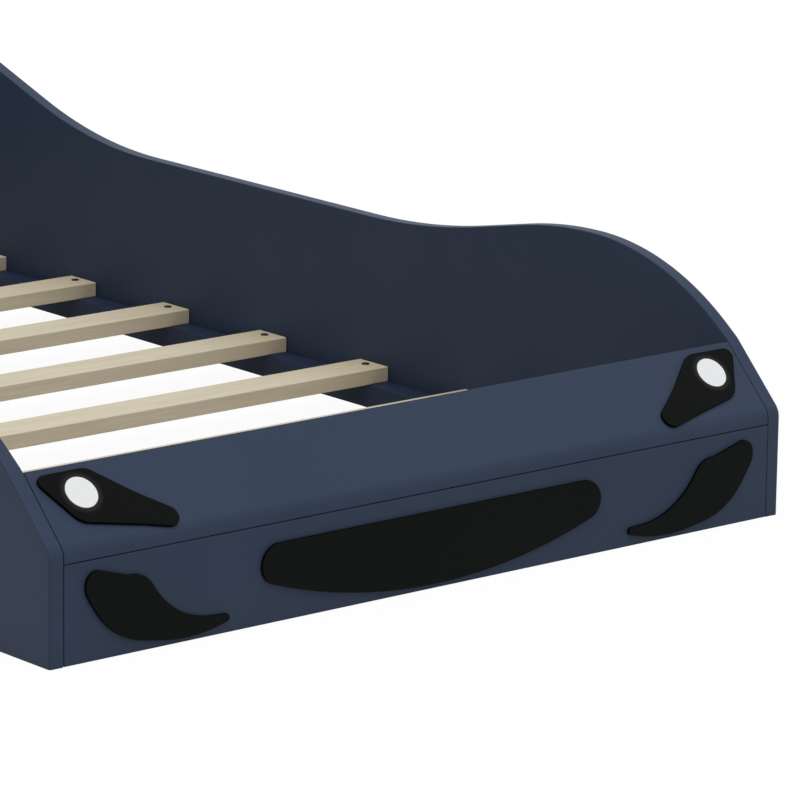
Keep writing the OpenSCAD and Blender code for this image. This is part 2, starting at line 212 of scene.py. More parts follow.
def rolled_paint(name, colour, shade, roughness, sheen, stipple, painted_glow=None, glow_spots=()):
    """A satin paint. shade is the colour of its thinner patches, stipple its bump in metres.

    Round each given spot, a middle and a radius, a painted glow makes it paler, and that fades over a
    short way."""
    material, tree, place = new_material(name)
    patches = add(tree, "TexNoise", {"Vector": place, "Scale": 1 / PATCH, "Detail": 3.0})
    film = add(tree, "Mix", {0: patches, 6: srgb(colour), 7: srgb(shade)}, data_type="RGBA")
    # Painted glow: the black turns paler close round each given spot.
    for middle, radius in glow_spots:
        apart = add(tree, "VectorMath", {0: place, 1: middle}, operation="DISTANCE")
        near = add(tree, "MapRange", {
            "Value": apart.outputs["Value"], "From Min": radius + GLOW_FROM,
            "From Max": radius + GLOW_TO, "To Min": 1.0, "To Max": 0.0}, interpolation_type="SMOOTHSTEP")
        film = add(tree, "Mix", {0: near, 6: film.outputs[2], 7: srgb(painted_glow)}, data_type="RGBA")
    gloss = add(tree, "MapRange", {
        "Value": patches, "To Min": roughness - PATCH_GLOSS, "To Max": roughness + PATCH_GLOSS})
    roller = add(tree, "TexNoise", {"Vector": place, "Scale": 1 / STIPPLE, "Detail": 2.0})
    bump = add(tree, "Bump", {"Height": roller, "Distance": stipple, "Strength": 1.0})
    close_material(tree, Base_Color=film.outputs[2], Roughness=gloss, Specular_IOR_Level=sheen,
                   Normal=bump)
    return material


navy_paint = rolled_paint("Navy satin paint on MDF", "#2F3C51", "#2B384D",
                          roughness=0.52, sheen=0.16, stipple=0.03 * MM)
# The rails' darker blue is painted shade, for the little light low inside the bed.
rail_paint_with_painted_shade = rolled_paint("Navy matt paint darkened with painted shade", "#242F44", "#212C40",
                          roughness=0.6, sheen=0.11, stipple=0.03 * MM)
print("made", navy_paint.name, rail_paint_with_painted_shade.name)

# %% [markdown]
# The grille, vents and lamp plates are thin MDF shapes with a near-black satin face. Their cut edges get
# a darker, dead matt black, so they look darker than the face: that thin dark line is what draws each
# plate on the blue. Two materials on one piece give it, one for the face and its rounded rim, and one
# for the cut edge. The lamp and hub discs are the same boards in satin white. Close round its white disc
# a lamp plate looks a shade paler in the photograph, so its face gets a recipe of its own with a painted
# glow round each of the two discs, and a black a shade darker than that of the other plates.

# %% Black and white plates
LAMP_DISCS = ("lamp_disc_left", "lamp_disc_right")


def middle_and_radius(node):
    """The middle of a packed disc that is widest along X, and its radius."""
    low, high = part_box(node)
    return (low + high) / 2, (high.x - low.x) / 2


black_face = rolled_paint("Black satin paint on MDF", "#0F1211", "#0D100F",
                          roughness=0.5, sheen=0.04, stipple=0.02 * MM)
# This face has a painted glow, paler close round each white disc.
lamp_face_with_painted_glow = rolled_paint("Black satin paint with a painted glow round the disc", "#0B0D0C", "#090B0A",
                         roughness=0.5, sheen=0.04, stipple=0.02 * MM, painted_glow="#282827",
                         glow_spots=[middle_and_radius(node) for node in LAMP_DISCS])
black_edge = rolled_paint("Darker dead matt black on a cut edge", "#08080A", "#060608",
                          roughness=0.9, sheen=0.02, stipple=0.03 * MM)
white_paint = rolled_paint("White satin paint on MDF", "#E7E9EC", "#E4E6E8",
                           roughness=0.38, sheen=0.3, stipple=0.01 * MM)
print("made", black_face.name, lamp_face_with_painted_glow.name, black_edge.name, white_paint.name)

# %% [markdown]
# The slats are planed, unfinished pine. A pine trunk adds one ring a year: a pale wide band in
# spring and a thin darker one in summer. Sawing cuts through those rings, so the grain on every
# face of a slat is the same set of rings seen from another side: long lines on top and in front,
# arcs on the cut end. A solid pattern gives that for free, where a picture wrapped round the slat
# would not. Here each slat is cut from its own place in a trunk that lies along X. The slats
# repeat at an even pitch, so the pitch tells which slat a point is on, and a random number for
# that slat moves the heart of its trunk, which lies somewhere below it. A helper works out where
# in its own trunk a point is.

# %% Find a point's place in its trunk
first_low, first_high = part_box("slat_01")
SLAT_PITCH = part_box("slat_02")[0].y - first_low.y
PITCH_START = first_low.y - SLAT_PITCH / 4    # in the gap before the first slat
HEART_ACROSS = (-40 * MM, 200 * MM)
HEART_BELOW = (25 * MM, 95 * MM)
TRUNK_SHIFT = 3.7    # metres from one slat's streaks to the next one's


def in_trunk(tree, place):
    """A point's place along and across its trunk, its distance from the heart, and a slat's luck."""
    x, y, z = add(tree, "SeparateXYZ", {"Vector": place}).outputs
    from_start = add(tree, "Math", {0: y, 1: PITCH_START}, operation="SUBTRACT")
    pitches = add(tree, "Math", {0: from_start, 1: SLAT_PITCH}, operation="DIVIDE")
    number = add(tree, "Math", {0: pitches}, operation="FLOOR")
    part = add(tree, "Math", {0: pitches}, operation="FRACT")
    across = add(tree, "Math", {0: part, 1: SLAT_PITCH}, operation="MULTIPLY")
    along = add(tree, "Math", {0: number, 1: TRUNK_SHIFT, 2: x}, operation="MULTIPLY_ADD")
    chance = add(tree, "TexWhiteNoise", {"W": number}, noise_dimensions="1D")
    luck = add(tree, "SeparateColor", {"Color": chance.outputs["Color"]}).outputs
    heart_y = add(tree, "MapRange", {
        "Value": luck["Red"], "To Min": HEART_ACROSS[0], "To Max": HEART_ACROSS[1]})
    heart_z = add(tree, "MapRange", {
        "Value": luck["Green"], "To Min": HEART_BELOW[0], "To Max": HEART_BELOW[1]})
    aside = add(tree, "Math", {0: across, 1: heart_y}, operation="SUBTRACT")
    above = add(tree, "Math", {0: z, 1: heart_z}, operation="ADD")
    from_heart = add(tree, "CombineXYZ", {"Y": aside, "Z": above})
    radius = add(tree, "VectorMath", {0: from_heart}, operation="LENGTH").outputs["Value"]
    return add(tree, "CombineXYZ", {"X": along, "Y": across, "Z": z}), radius, luck["Blue"]


print("there is a slat every", round(SLAT_PITCH / MM), "mm")

# %% [markdown]
# How dark the wood is at a point comes from two things: the season of its ring, and a broad, slow
# change between paler and warmer wood. Both are drawn out along the trunk, so a helper makes a
# noise in streaks. It makes the rings wander as well, because no trunk is perfectly straight.
# Each streak is given by its waves to a metre, along the trunk and across it.

# %% Growth rings and warm streaks
RING_WIDTH = 5.5 * MM
RING_WANDER = 26 * MM
RING_STRENGTH = 0.15
# Across a ring, from its start at 0 to its end at 1: black is the wood of spring, white of summer
SEASONS = ((0, "#555555"), (0.35, "#000000"), (0.8, "#FFFFFF"), (1, "#555555"))
WARM_STRENGTH = 0.4
PALE_AT, WARM_AT = 0.35, 0.65    # the noise at which the wood is quite pale, and quite warm
WANDER_WAVES = (1.6, 14)    # streaks 625 mm long and 70 mm wide
WARM_WAVES = (5, 60)        # 200 mm long and 17 mm wide


def streaks(tree, place, waves, detail):
    """A noise drawn out along X, with its waves to a metre along and across."""
    along, across = waves
    lengths = add(tree, "Mapping", {"Vector": place, "Scale": (along, across, across)})
    return add(tree, "TexNoise", {
        "Vector": lengths, "Scale": 1.0, "Detail": detail, "Roughness": 0.6})


def darkness(tree, place, radius):
    """How dark the wood is at a place in the trunk and a distance from its heart, from 0 to 1."""
    wander = streaks(tree, place, WANDER_WAVES, 1.5)
    bent = add(tree, "Math", {0: wander, 1: RING_WANDER, 2: radius}, operation="MULTIPLY_ADD")
    rings = add(tree, "Math", {0: bent, 1: RING_WIDTH}, operation="DIVIDE")
    season = add(tree, "ValToRGB", {"Fac": add(tree, "Math", {0: rings}, operation="FRACT")})
    steps = season.color_ramp.elements
    steps[0].color = srgb(SEASONS[0][1])
    steps[1].color = srgb(SEASONS[-1][1])
    for at, grey in SEASONS[1:-1]:
        steps.new(at).color = srgb(grey)
    warmth = add(tree, "MapRange", {
        "Value": streaks(tree, place, WARM_WAVES, 3), "From Min": PALE_AT, "From Max": WARM_AT,
        "To Max": WARM_STRENGTH})
    return add(tree, "Math", {0: season, 1: RING_STRENGTH, 2: warmth}, operation="MULTIPLY_ADD")


print("growth rings are", round(RING_WIDTH / MM, 1), "mm wide")

# %% [markdown]
# The recipe puts these together. Towards its ends a slat turns a little warmer and darker in the
# photograph, and a smooth step along X paints that in: it is painted shade, warm in tone, for the little
# light that reaches the slats near the side panels. Over it lie the short streaks of the fibre. Real
# pine fibre is far too fine to show from here, so it is drawn coarser, about 22 mm long and 3 mm wide,
# and it also makes the faint bump of the planed surface. Last, one board is never quite as pale as the
# next.

# %% Planed pine
END_SHADE_REACH = 180 * MM
END_SHADE_SHARE = 0.6
FIBRE_WAVES = (45, 350)
FIBRE_TONES = (0.9, 1.08)
FIBRE_BUMP = 0.05 * MM
BOARD_TONES = (0.985, 1.01)


def planed_pine(name, spring, summer, end_shade_colour):
    """Pine with its growth rings, lying along X, one trunk for each slat, and painted shade towards its
    ends.
    """
    material, tree, place = new_material(name)
    own_place, radius, luck = in_trunk(tree, place)
    colour = add(tree, "Mix", {
        0: darkness(tree, own_place, radius), 6: srgb(spring), 7: srgb(summer)}, data_type="RGBA")
    x = add(tree, "SeparateXYZ", {"Vector": place}).outputs["X"]
    # Painted shade: both ends of a slat turn darker and warmer over a smooth step along X.
    end = add(tree, "MapRange", {
        "Value": add(tree, "Math", {0: x}, operation="ABSOLUTE"), "From Min": first_high.x - END_SHADE_REACH,
        "From Max": first_high.x, "To Max": END_SHADE_SHARE}, interpolation_type="SMOOTHSTEP")
    colour = add(tree, "Mix", {0: end, 6: colour.outputs[2], 7: srgb(end_shade_colour)}, data_type="RGBA")
    fibre = streaks(tree, own_place, FIBRE_WAVES, 4)
    streak = add(tree, "MapRange", {
        "Value": fibre, "To Min": FIBRE_TONES[0], "To Max": FIBRE_TONES[1]})
    board = add(tree, "MapRange", {
        "Value": luck, "To Min": BOARD_TONES[0], "To Max": BOARD_TONES[1]})
    tone = add(tree, "Math", {0: streak, 1: board}, operation="MULTIPLY")
    wood = add(tree, "VectorMath", {0: colour.outputs[2], "Scale": tone}, operation="SCALE")
    bump = add(tree, "Bump", {"Height": fibre, "Distance": FIBRE_BUMP, "Strength": 0.6})
    close_material(tree, Base_Color=wood, Roughness=0.62, Specular_IOR_Level=0.25, Normal=bump)
    return material


# The last colour is the painted shade at the ends of the slats.
pine = planed_pine("Planed pine", "#DAD1BC", "#C2B497", "#C2B292")
print("made", pine.name)

# %% [markdown]
# Small fittings come in three finishes. Wood screws are steel with a black zinc coat, which is a
# dark grey with a slightly cloudy shine. Cam locks and cam bolts are cast or turned zinc, pale and
# duller. Dowels are beech, a hard pale wood with fine short flecks. Metals take all of their colour
# from reflection, so metallic is 1 and the hex value is the tint of the reflection. The cloudiness
# is a noise in the roughness. Its clouds are a millimetre or so wide, so a screw head has a few.

# %% Black zinc, cast zinc and beech
CLOUD_GLOSS = 0.1
CLOUD_BUMP = 0.02 * MM
FLECK_LENGTH = 4 * MM
FLECK_WIDTH = 0.5 * MM
FLECK_BUMP = 0.05 * MM


def cloudy_metal(name, tint, roughness, cloud):
    """A dull metal coat whose gloss changes over a distance of cloud metres."""
    material, tree, place = new_material(name)
    clouds = add(tree, "TexNoise", {"Vector": place, "Scale": 1 / cloud, "Detail": 3.0})
    gloss = add(tree, "MapRange", {
        "Value": clouds, "To Min": roughness - CLOUD_GLOSS, "To Max": roughness + CLOUD_GLOSS})
    bump = add(tree, "Bump", {"Height": clouds, "Distance": CLOUD_BUMP, "Strength": 0.5})
    close_material(tree, Base_Color=srgb(tint), Metallic=1.0, Roughness=gloss, Normal=bump)
    return material


def flecked_beech(name, painted_glow, fleck):
    """Beech for dowels that lie along X, with short darker flecks."""
    material, tree, place = new_material(name)
    flecks = add(tree, "Mapping", {
        "Vector": place, "Scale": (1 / FLECK_LENGTH, 1 / FLECK_WIDTH, 1 / FLECK_WIDTH)})
    grain = add(tree, "TexNoise", {"Vector": flecks, "Scale": 1.0, "Detail": 2.0})
    wood = add(tree, "Mix", {0: grain, 6: srgb(painted_glow), 7: srgb(fleck)}, data_type="RGBA")
    bump = add(tree, "Bump", {"Height": grain, "Distance": FLECK_BUMP, "Strength": 0.5})
    close_material(tree, Base_Color=wood.outputs[2], Roughness=0.6, Normal=bump)
    return material


black_zinc = cloudy_metal("Black zinc on steel", "#454544", roughness=0.4, cloud=1.5 * MM)
cast_zinc = cloudy_metal("Cast zinc", "#A6A8AA", roughness=0.5, cloud=1.0 * MM)
beech = flecked_beech("Beech", "#D3B48C", "#BE9A70")
print("made", black_zinc.name, cast_zinc.name, beech.name)

# %% [markdown]
# A finished piece has to say two things to the model: the body that it rides on, and the packed node
# that it stands for, by its name, and that node is hidden. Nothing on this bed moves, so every piece
# rides on the one body. One function says both and gives the piece its materials, so no piece can be
# forgotten.


def hand_over(piece, node, *materials):
    """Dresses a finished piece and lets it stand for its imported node."""
    smooth(piece)
    piece.name = node + "_finished"
    piece.data.materials.clear()
    for material in materials:
        piece.data.materials.append(material)
    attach(piece, "root")
    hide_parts(node)
    print(piece.name, "has", len(piece.data.polygons), "faces")


# %% [markdown]
# The boards have curved outlines, holes for dowels and seats for cam locks, all of which the
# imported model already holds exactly. Drawing them again would only add mistakes. So each board
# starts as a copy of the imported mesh. That mesh is loose triangles, so its points are merged
# first, and the flat triangles are dissolved into whole faces. Only then is there an edge that a
# bevel can follow. The chords round a bored hole are much shorter than those of an outline, so
# the length of an edge tells a rim from a bore.

# %% A clean copy of a packed board
MERGE = 0.05 * MM
FLAT_ANGLE = math.radians(0.3)
SHARP_ANGLE = math.radians(30)
LONGEST_BORE_CHORD = 1.3 * MM


def copy_of(node):
    """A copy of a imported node, its points merged and its flats whole, left open for editing."""
    piece = bpy.data.objects.new(node + "_copy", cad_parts[node].data.copy())
    bpy.context.scene.collection.objects.link(piece)
    open_piece(piece)
    bpy.ops.mesh.select_all(action="SELECT")
    bpy.ops.mesh.remove_doubles(threshold=MERGE)
    bpy.ops.mesh.dissolve_limited(angle_limit=FLAT_ANGLE)
    return piece


def is_sharp(edge):
    """True for an edge where two faces meet at a clear angle."""
    return len(edge.link_faces) == 2 and edge.calc_face_angle() > SHARP_ANGLE


def is_rim(edge):
    """True for a sharp outer edge that isn't the mouth of a bore."""
    return is_sharp(edge) and edge.is_convex and edge.calc_length() > LONGEST_BORE_CHORD


print("a packed side panel has", len(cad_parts["side_panel_left"].data.polygons), "triangles")

# %% [markdown]
# The side panels were routed all round. Their outer edges have the larger round, about 3 mm,
# which shows in the photograph as a soft step between the outer face and the narrow front edge.
# The inner edges meet the front boards in a tight seam, so theirs is only just broken. The edge
# that stands on the floor was left as the saw cut it.

# %% Side panels
OUTER_ROUND = 3 * MM
INNER_ROUND = 1 * MM


def lies_in(edge, x):
    """True for a rim at a distance x from the bed's middle, other than the one on the floor."""
    at_x = all(abs(abs(point.co.x) - x) < MERGE for point in edge.verts)
    return at_x and is_rim(edge) and max(point.co.z for point in edge.verts) > cad_low.z + MERGE


for node in ("side_panel_left", "side_panel_right"):
    low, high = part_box(node)
    inner_x, outer_x = sorted((abs(low.x), abs(high.x)))
    panel = copy_of(node)
    ease(panel, OUTER_ROUND, lambda edge: lies_in(edge, outer_x), steps=4)
    ease(panel, INNER_ROUND, lambda edge: lies_in(edge, inner_x))
    close_piece()
    hand_over(panel, node, navy_paint)
BOARD = outer_x - inner_x

# %% [markdown]
# The front boards and the headboard butt against the side panels and each other. Their edges are
# only broken with a stroke of sandpaper. The two front boards get a stroke more, so that the seam
# between them is a clear dark line. The hood's free top edge, which a hand touches, is a little
# rounder still and catches a fine line of light.

# %% Front boards, headboard, rails and blocks
BROKEN_EDGE = 0.4 * MM
SEAM_EDGE = 0.8 * MM
FREE_EDGE = 1.2 * MM
hood_low, hood_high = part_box("hood_board")


def is_hood_top(edge):
    """True for the edge along the top of the hood's outer face."""
    return all(point.co.z > hood_high.z - MM for point in edge.verts)


hood = copy_of("hood_board")
ease(hood, FREE_EDGE, lambda edge: is_rim(edge) and is_hood_top(edge))
ease(hood, SEAM_EDGE, lambda edge: is_rim(edge) and not is_hood_top(edge), steps=2)
close_piece()
hand_over(hood, "hood_board", navy_paint)

OTHER_BOARDS = {
    "bumper_board": (SEAM_EDGE, navy_paint), "headboard": (BROKEN_EDGE, navy_paint),
    "slat_rail_left": (FREE_EDGE, rail_paint_with_painted_shade), "slat_rail_right": (FREE_EDGE, rail_paint_with_painted_shade),
    "corner_block_left": (BROKEN_EDGE, rail_paint_with_painted_shade), "corner_block_right": (BROKEN_EDGE, rail_paint_with_painted_shade)}
for node, (rounding, paint) in OTHER_BOARDS.items():
    board = copy_of(node)
    ease(board, rounding, is_rim, steps=2)
    close_piece()
    hand_over(board, node, paint)

# %% [markdown]
# The black plates are cut with curved outlines, then their front rims are rounded before they
# are painted. The face looks towards -Y on the upright board and up the slope on the hood, so
# the rim is found by the faces on either side of it: one is the big face and the other is the
# cut edge. The same test picks the faces of the cut edge, which get the second material. It
# compares a face's normal with a direction: their dot product is near 1 if the face looks that
# way, and near 0 if it stands square to it. The hole that takes the white disc keeps a crisp rim,
# so that the disc sits tight in it.

# %% Grille, vents and lamp plates
HOOD_SLOPE = math.radians(45)
UPRIGHT = Vector((0, -1, 0))
ON_HOOD = Vector((0, -math.sin(HOOD_SLOPE), math.cos(HOOD_SLOPE)))
LOOKS_THAT_WAY = 0.9
IS_SQUARE_TO_IT = 0.1
NEAR_DISC = 1.2
PLATE_ROUND = 0.9 * MM
HOLE_ROUND = 0.2 * MM
PLATES = {"grille_plate": UPRIGHT, "vent_plate_left": UPRIGHT, "vent_plate_right": UPRIGHT,
          "lamp_plate_left": ON_HOOD, "lamp_plate_right": ON_HOOD}


def is_front_rim(edge, out):
    """True for an edge round the face that looks out."""
    return is_sharp(edge) and any(face.normal.dot(out) > LOOKS_THAT_WAY for face in edge.link_faces)


def is_disc_hole(edge):
    """True for an edge close round a white disc, within NEAR_DISC times its radius."""
    return any((point.co - middle).length < NEAR_DISC * radius
               for middle, radius in map(middle_and_radius, LAMP_DISCS) for point in edge.verts)


def paint_cut_edge(piece, out):
    """Gives the faces square to the direction out the piece's second material."""
    for face in piece.data.polygons:
        face.material_index = 1 if abs(face.normal.dot(out)) < IS_SQUARE_TO_IT else 0


for node, out in PLATES.items():
    plate = copy_of(node)
    ease(plate, PLATE_ROUND, lambda edge: is_front_rim(edge, out) and not is_disc_hole(edge))
    ease(plate, HOLE_ROUND, lambda edge: is_front_rim(edge, out) and is_disc_hole(edge), steps=2)
    close_piece()
    hand_over(plate, node, lamp_face_with_painted_glow if out == ON_HOOD else black_face, black_edge)
    paint_cut_edge(plate, out)

# %% [markdown]
# The discs, screws, bolts, dowels and wheels are all turned shapes: round, with a radius that
# changes along the axis. One helper makes them as a turner reads a drawing, step by step from one
# end: a circle is filled, and its face is extruded and scaled for each next step. The shape lies
# along its own Z axis with its outer end at the origin. Another helper gives the matrix that
# puts it in its place, out of three directions and a point.

# %% Turn a shape and stand it in its place
DISC_SIDES = 160


def turned(profile, sides):
    """A turned solid from (place along Z, radius) steps, left open for editing."""
    bpy.ops.object.select_all(action="DESELECT")
    at, radius = profile[0]
    bpy.ops.mesh.primitive_circle_add(
        vertices=sides, radius=radius, fill_type="NGON", location=(0, 0, at))
    bpy.ops.object.transform_apply(location=True)
    piece = bpy.context.object
    open_piece(piece, "FACE")
    bpy.ops.mesh.select_all(action="SELECT")
    for next_at, next_radius in profile[1:]:
        bpy.ops.mesh.extrude_region_move(TRANSFORM_OT_translate={"value": (0, 0, next_at - at)})
        share = next_radius / radius
        bpy.ops.transform.resize(value=(share, share, 1), center_override=(0, 0, next_at))
        at, radius = next_at, next_radius
    bpy.ops.mesh.select_all(action="SELECT")
    bpy.ops.mesh.normals_make_consistent(inside=False)
    return piece


def disc_profile(radius, thickness, rounding, steps=4):
    """The steps of a disc with a rounded front rim and a lightly broken back rim."""
    arc = [math.pi / 2 * k / steps for k in range(steps + 1)]
    front = [(rounding * (math.cos(a) - 1), radius + rounding * (math.sin(a) - 1)) for a in arc]
    return front + [(BROKEN_EDGE - thickness, radius), (-thickness, radius - BROKEN_EDGE)]


def stand(end, out, side=Vector((0, 1, 0))):
    """The matrix that puts a shape's outer end at a point, its Z axis pointing out."""
    across = side.cross(out).normalized()
    turn = Matrix((across, out.cross(across), out)).transposed().to_4x4()
    return Matrix.Translation(end) @ turn


print("a disc of", DISC_SIDES, "sides is round to one part in",
      round(1 / (1 - math.cos(math.pi / DISC_SIDES))))

# %% [markdown]
# The two lamps are white discs let into the black plates, almost level with them. A rim that is
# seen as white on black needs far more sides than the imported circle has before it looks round.
# The disc lies on the slope of the hood, so its box is tilted, and its thickness follows from the
# depth of that box.

# %% Lamp discs
DISC_ROUND = 0.3 * MM
for node in LAMP_DISCS:
    low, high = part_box(node)
    middle, radius = middle_and_radius(node)
    thickness = (high.y - low.y - 2 * radius * math.cos(HOOD_SLOPE)) / math.sin(HOOD_SLOPE)
    lamp = turned(disc_profile(radius, thickness, DISC_ROUND), DISC_SIDES)
    close_piece()
    lamp.data.transform(stand(middle + ON_HOOD * thickness / 2, ON_HOOD))
    hand_over(lamp, node, white_paint)
    print(node, "is", round(thickness / MM, 2), "mm thick")

# %% [markdown]
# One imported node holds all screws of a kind, or all dowels. To put a modelled one in each place,
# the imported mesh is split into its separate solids: a walk from point to point along the edges
# finds everything that hangs together. The box of each solid gives its middle and its length.
# Most of them lie along X, so one more helper turns such solids into places for turned shapes.

# %% Find separate solids
def solids_of(node):
    """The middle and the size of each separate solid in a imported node."""
    shape = bmesh.new()
    shape.from_mesh(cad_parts[node].data)
    bmesh.ops.remove_doubles(shape, verts=shape.verts, dist=MERGE / 10)
    waiting = set(shape.verts)
    solids = []
    while waiting:
        group = [waiting.pop()]
        for point in group:
            for edge in point.link_edges:
                other = edge.other_vert(point)
                if other in waiting:
                    waiting.remove(other)
                    group.append(other)
        low = Vector([min(point.co[i] for point in group) for i in range(3)])
        high = Vector([max(point.co[i] for point in group) for i in range(3)])
        solids.append(((low + high) / 2, high - low))
    shape.free()
    return sorted(solids, key=lambda solid: tuple(round(c / MM) for c in solid[0]))


def along_x(solids, faces_out=1):
    """Matrices for shapes along X. Their outer ends face the side panels, or with -1 the middle."""
    places = []
    for middle, size in solids:
        out = Vector((math.copysign(1, middle.x) * faces_out, 0, 0))
        places.append(stand(middle + out * size.x / 2, out))
    return places


wheel_screws = solids_of("wheel_screws")
slat_screws = solids_of("slat_screws")
print("found", len(wheel_screws), "wheel screws and", len(slat_screws), "slat screws")

# %% [markdown]
# What repeats is modelled once. Each copy gets its own mesh, already moved to its place, and the
# copies of a kind are joined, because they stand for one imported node. Where a screw or a bolt
# goes into a piece, a boolean takes a turned cutter out of it, as a drill would.

# %% Spread copies and cut holes
def spread(shape, node, places, material):
    """Copies the shape to each place, joins the copies and hands them over as one piece."""
    copies = []
    for place in places:
        copy = bpy.data.objects.new(node + "_one", shape.data.copy())
        copy.data.transform(place)
        bpy.context.scene.collection.objects.link(copy)
        copies.append(copy)
    bpy.data.objects.remove(shape)
    only(copies[0])
    for copy in copies:
        copy.select_set(True)
    bpy.ops.object.join()
    hand_over(copies[0], node, material)
    print(node, "holds", len(places), "pieces")


def cut_away(piece, cutter):
    """Takes the cutter out of the piece and removes it."""
    boolean = piece.modifiers.new("Cut", "BOOLEAN")
    boolean.object = cutter
    boolean.solver = "EXACT"
    only(piece)
    bpy.ops.object.modifier_apply(modifier="Cut")
    bpy.data.objects.remove(cutter)


print("slat screws are", round(slat_screws[0][1].z / MM), "mm long")

# %% [markdown]
# The wheels don't turn. A black disc is screwed to the outside of the side panel, and a white
# hub disc is glued over its screws. Those screws are sunk, each in a hole with a seat for the
# head, which is cut even though the hub hides it. The cutter is turned like the screw itself, a
# hair wider all round.

# %% Holes for sunk screws
HOLE_SIDES = 32
HOLE_FIT = 0.05 * MM
SHANK_RADIUS = 2 * MM
FLAT_HEAD = 3 * MM
shank_hole = SHANK_RADIUS + HOLE_FIT


def cut_screw_hole(piece, screw):
    """Cuts the hole of one sunk screw that lies along X."""
    size = screw[1]
    seat = size.z / 2 + HOLE_FIT
    hole = turned([(FLAT_HEAD, seat), (-FLAT_HEAD, seat), (-FLAT_HEAD, shank_hole),
                   (-size.x, shank_hole)], HOLE_SIDES)
    close_piece()
    hole.data.transform(along_x([screw])[0])
    cut_away(piece, hole)


print("a shank's hole is", round(2 * shank_hole / MM, 1), "mm wide")

# %% [markdown]
# Now the wheels themselves. The tyre's outer rim is well rounded and the hub's only a little. A
# turned shape with many sides keeps its rim round against the white background. Each tyre takes
# the three screws that lie within it.

# %% Wheels
TYRE_ROUND = 2.5 * MM
HUB_ROUND = 1 * MM
WHEEL_PARTS = (("tyre_disc", black_face, TYRE_ROUND), ("hub_disc", white_paint, HUB_ROUND))

for end in ("front", "rear"):
    for side in ("left", "right"):
        for kind, material, rounding in WHEEL_PARTS:
            node = f"{kind}_{end}_{side}"
            low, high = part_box(node)
            middle, size = (low + high) / 2, high - low
            wheel = turned(disc_profile(size.z / 2, size.x, rounding), DISC_SIDES)
            close_piece()
            wheel.data.transform(along_x([(middle, size)])[0])
            for screw in wheel_screws:
                if kind == "tyre_disc" and (screw[0] - middle).length < size.z:
                    cut_screw_hole(wheel, screw)
            hand_over(wheel, node, material)

# %% [markdown]
# A slat is a planed stick with softly rounded long edges, a crisp cut at its ends, and a drilled
# hole for a screw near each end. It starts as a cube of the slat's size. The four long edges are
# rounded first, then the edges of the two ends, and the holes are cut last so that their rims
# stay sharp, as a drill leaves them. One slat is modelled and copied for all ten, and the pine
# gives each copy its own grain, because the grain depends on where the slat lies.

# %% Slats
SLAT_ROUND = 1.2 * MM
CUT_END_ROUND = 0.5 * MM
slat_size = first_high - first_low

bpy.ops.object.select_all(action="DESELECT")
bpy.ops.mesh.primitive_cube_add(size=1, location=(first_low + first_high) / 2, scale=slat_size)
bpy.ops.object.transform_apply(location=True, scale=True)
slat = bpy.context.object
open_piece(slat)
ease(slat, SLAT_ROUND, lambda edge: edge.calc_length() > slat_size.x - MM, steps=5)
ease(slat, CUT_END_ROUND, is_sharp, steps=2)
close_piece()
for middle, size in slat_screws:
    if first_low.y < middle.y < first_high.y:
        drill = turned([(first_high.z + MM, shank_hole), (first_low.z - MM, shank_hole)], HOLE_SIDES)
        close_piece()
        drill.data.transform(Matrix.Translation((middle.x, middle.y, 0)))
        cut_away(slat, drill)

slat_nodes = sorted(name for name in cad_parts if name.startswith("slat_") and name[5:].isdigit())
for node in slat_nodes:
    copy = bpy.data.objects.new(node + "_copy", slat.data.copy())
    copy.data.transform(Matrix.Translation(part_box(node)[0] - first_low))
    bpy.context.scene.collection.objects.link(copy)
    hand_over(copy, node, pine)
bpy.data.objects.remove(slat)

# %% [markdown]
# All wood screws here have a thread and a cross for the screwdriver. The cross is cut with two
# wedges that narrow downwards. The thread is not a pile of rings: it is a ridge that climbs one
# pitch with each turn. So the shank is cut into many short rings of faces, and each point is moved
# inwards by how far it lies from the ridge at its own height and angle.

# %% Cut a cross and a thread
CROSS_TAPER = 0.45
THREAD_PITCH = 1.8 * MM
THREAD_DEPTH = 0.55 * MM
THREAD_STEEPNESS = 1.6
RINGS_TO_A_PITCH = 6


def cut_cross(piece, length, width, depth):
    """Cuts a screwdriver's cross into the outer end of a shape."""
    for turn in (0, math.pi / 2):
        bpy.ops.object.select_all(action="DESELECT")
        bpy.ops.mesh.primitive_cube_add(size=1, scale=(length, width, 2 * depth), rotation=(0, 0, turn))
        bpy.ops.object.transform_apply(rotation=True, scale=True)
        wedge = bpy.context.object
        open_piece(wedge, "FACE")
        pick(wedge, "FACE", lambda face: face.normal.z < -LOOKS_THAT_WAY)
        bpy.ops.transform.resize(value=(CROSS_TAPER, CROSS_TAPER, 1), center_override=(0, 0, -depth))
        close_piece()
        cut_away(piece, wedge)


def cut_thread(piece, radius, top, bottom):
    """Cuts a thread into the straight shank of an open piece between two heights, and closes it."""
    def on_shank(point, spare):
        return abs(point.co.xy.length - radius) < MERGE and bottom - spare < point.co.z < top + spare

    pick(piece, "EDGE", lambda edge: all(on_shank(point, MERGE) for point in edge.verts)
         and abs(edge.verts[0].co.z - edge.verts[1].co.z) > THREAD_PITCH)
    bpy.ops.mesh.subdivide(number_cuts=math.ceil((top - bottom) / THREAD_PITCH * RINGS_TO_A_PITCH))
    close_piece()
    for point in piece.data.vertices:
        if on_shank(point, -MERGE):
            turns = point.co.z / THREAD_PITCH - math.atan2(point.co.y, point.co.x) / (2 * math.pi)
            from_ridge = 1 - abs(turns % 1 - 0.5) * 2
            point.co.xy *= 1 - THREAD_DEPTH / radius * min(1, THREAD_STEEPNESS * from_ridge)


print("the thread climbs", round(THREAD_PITCH / MM, 1), "mm a turn")

